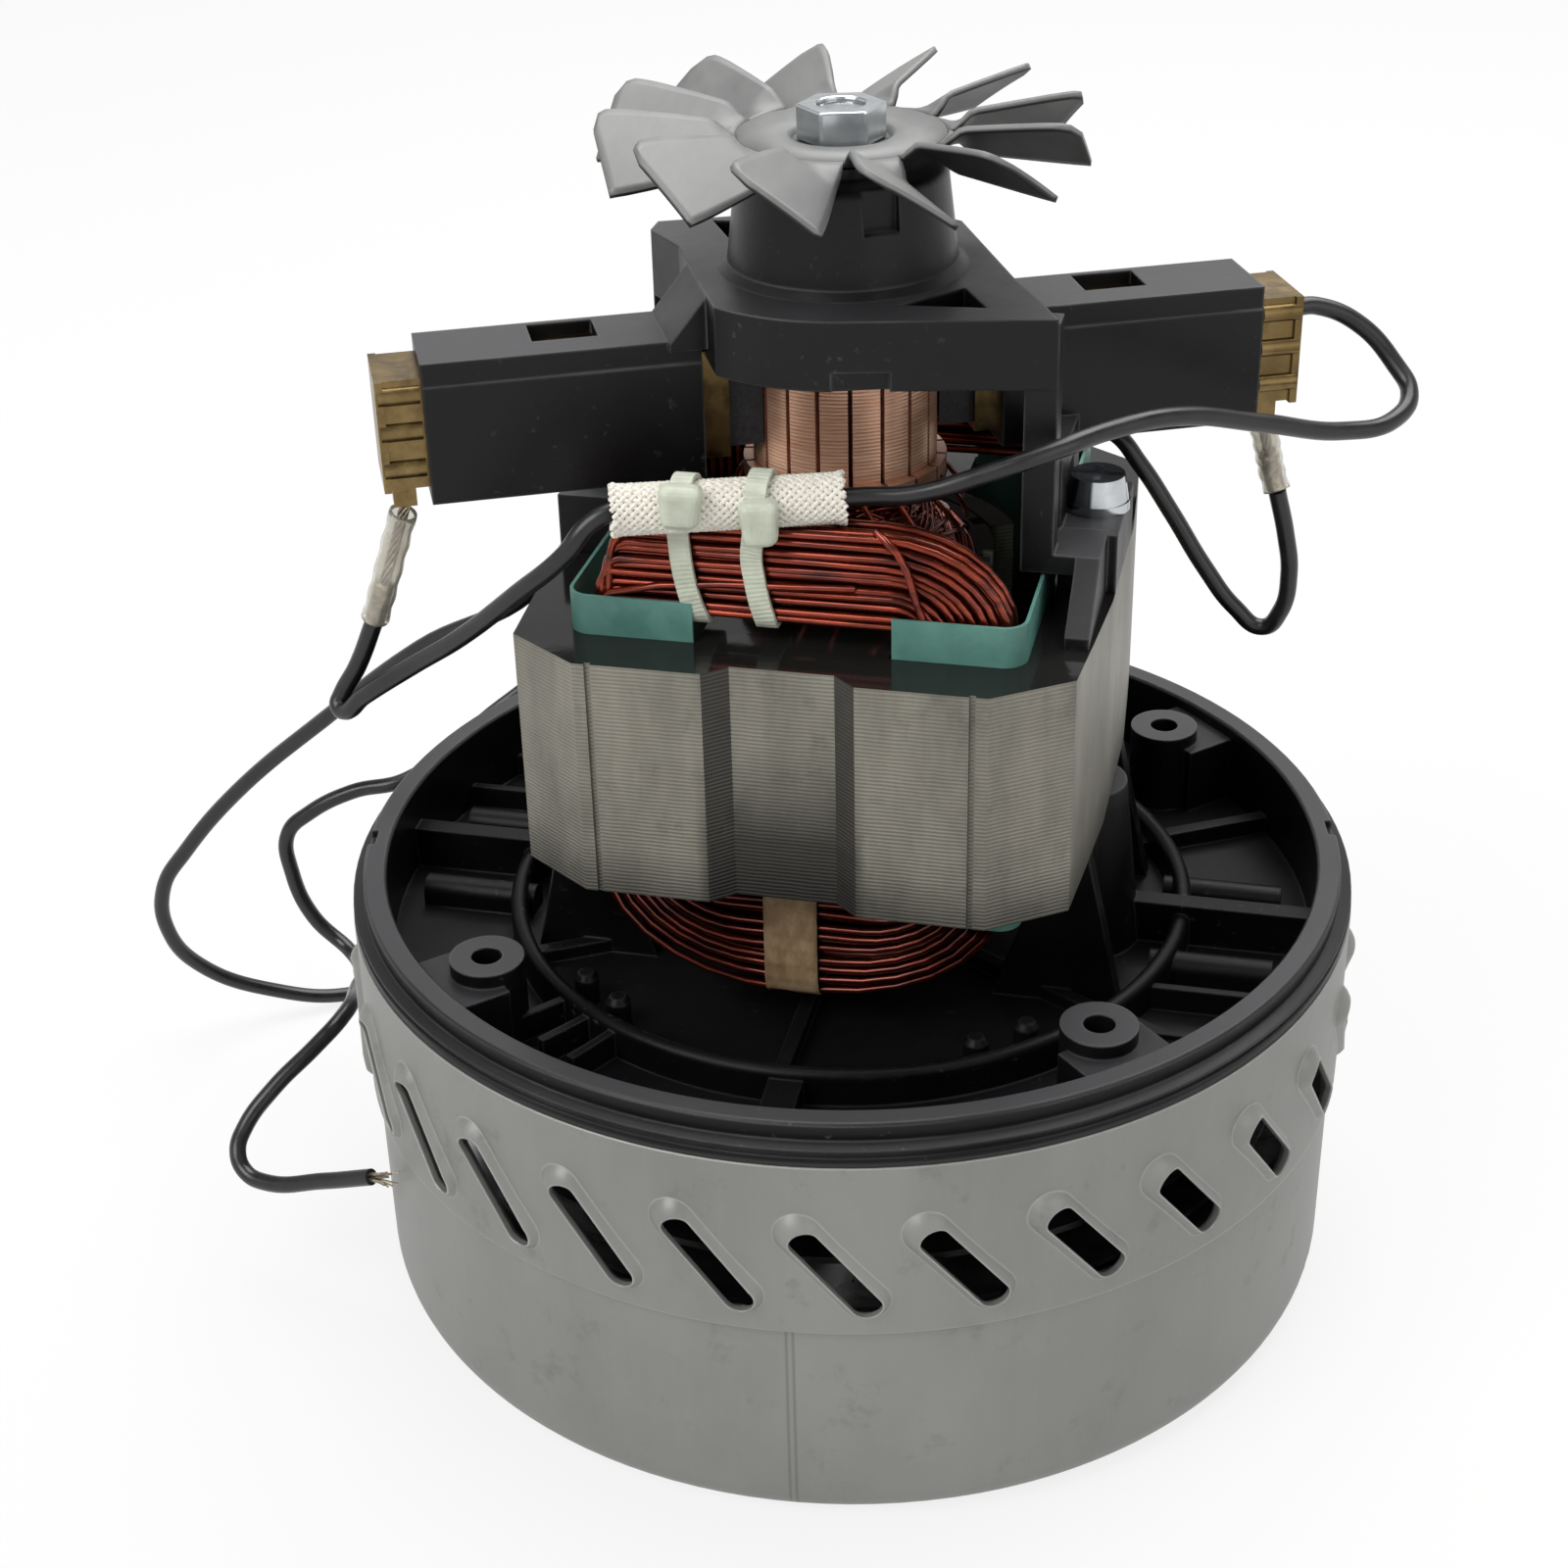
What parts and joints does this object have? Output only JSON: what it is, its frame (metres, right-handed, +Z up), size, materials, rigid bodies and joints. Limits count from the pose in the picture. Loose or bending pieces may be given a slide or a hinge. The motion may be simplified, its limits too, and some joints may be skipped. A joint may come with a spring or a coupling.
{
  "type": "vacuum motor unit",
  "caption": "Bypass vacuum motor: vented steel fan case, black bowl bracket, exposed laminated stator with enamelled coils, brush arms, loose leads and a bladed cooling fan.",
  "frame": {"origin": "on the shaft axis at the underside of the fan case", "axes": "+Z up along the shaft, X and Y square to the lamination stack, the stack's tied coil towards -Y"},
  "size_m": [0.1963, 0.1464, 0.171],
  "materials": {
    "zinc_sheet": "satin",
    "gasket_rubber": "matte",
    "black_plastic": "moulded",
    "stage_aluminium": "satin",
    "lamination_steel": "edge of stacked sheet",
    "enamelled_copper": "enamelled wire",
    "liner_film": "satin film",
    "coil_tape": "glass tape",
    "zinc_steel": "bright zinc",
    "brass_sheet": "formed sheet",
    "carbon": "sintered",
    "spring_steel": "drawn wire",
    "bearing_steel": "ground",
    "cage_nylon": "moulded",
    "commutator_copper": "turned",
    "phenolic": "moulded",
    "fan_sheet": "satin",
    "braided_glass": "braided",
    "protector_case": "satin",
    "natural_nylon": "moulded",
    "clear_sleeve": "clear",
    "lead_insulation": "extruded",
    "tinned_copper": "stranded"
  },
  "bodies": {
    "motor_frame": {"fan_case": "zinc_sheet", "case_gasket": "gasket_rubber", "base_bracket": "black_plastic", "interstage_plate": "stage_aluminium", "stator_core": "lamination_steel", "front_field_coil": "enamelled_copper", "rear_field_coil": "enamelled_copper", "slot_liners": "liner_film", "coil_tapes": "coil_tape", "top_bracket": "black_plastic", "frame_screws": "zinc_steel", "spring_washers": "zinc_steel", "left_brush_tube": "brass_sheet", "right_brush_tube": "brass_sheet", "left_brush_spring": "spring_steel", "right_brush_spring": "spring_steel", "upper_outer_ring": "bearing_steel", "lower_outer_ring": "bearing_steel", "protector_sleeve": "braided_glass", "thermal_protector": "protector_case", "cable_ties": "natural_nylon", "lead_crimps": "zinc_steel", "lead_sleeves": "clear_sleeve", "right_protector_lead": "lead_insulation", "right_field_lead": "lead_insulation", "left_protector_lead": "lead_insulation", "first_supply_lead": "lead_insulation", "second_supply_lead": "lead_insulation", "lead_strands": "tinned_copper"},
    "rotor": {"shaft": "bearing_steel", "armature_core": "lamination_steel", "armature_winding": "enamelled_copper", "commutator_hub": "phenolic", "commutator_bars": "commutator_copper", "fan_spacer": "zinc_steel", "cooling_fan": "fan_sheet", "fan_nut": "zinc_steel", "first_impeller": "stage_aluminium", "second_impeller": "stage_aluminium", "impeller_washers": "zinc_steel", "impeller_spacers": "zinc_steel", "impeller_nut": "zinc_steel", "upper_inner_ring": "bearing_steel", "lower_inner_ring": "bearing_steel"},
    "upper_ball_set": {"upper_balls": "bearing_steel", "upper_cage": "cage_nylon"},
    "lower_ball_set": {"lower_balls": "bearing_steel", "lower_cage": "cage_nylon"},
    "left_brush": {"left_carbon_brush": "carbon"},
    "right_brush": {"right_carbon_brush": "carbon"}
  },
  "joints": [
    {"name": "rotor_spin", "type": "hinge", "parent": "motor_frame", "child": "rotor", "pos_m": [0, 0, 0.1], "axis": [0, 0, 1], "continuous": true},
    {"name": "upper_ball_spin", "type": "hinge", "parent": "motor_frame", "child": "upper_ball_set", "pos_m": [0, 0, 0.153], "axis": [0, 0, 1], "continuous": true},
    {"name": "lower_ball_spin", "type": "hinge", "parent": "motor_frame", "child": "lower_ball_set", "pos_m": [0, 0, 0.057], "axis": [0, 0, 1], "continuous": true},
    {"name": "left_brush_slide", "type": "slide", "parent": "motor_frame", "child": "left_brush", "axis": [-0.9063, -0.4226, 0], "range_m": [0, 0.006], "stiffness_N_per_m": 150, "springref_m": -0.02, "deforming": ["left_brush_spring"]},
    {"name": "right_brush_slide", "type": "slide", "parent": "motor_frame", "child": "right_brush", "axis": [0.9063, 0.4226, 0], "range_m": [0, 0.006], "stiffness_N_per_m": 150, "springref_m": -0.02, "deforming": ["right_brush_spring"]}
  ],
  "couplings": [
    {"joint": "upper_ball_spin", "follows": "rotor_spin", "ratio": 0.37},
    {"joint": "lower_ball_spin", "follows": "rotor_spin", "ratio": 0.3722}
  ]
}
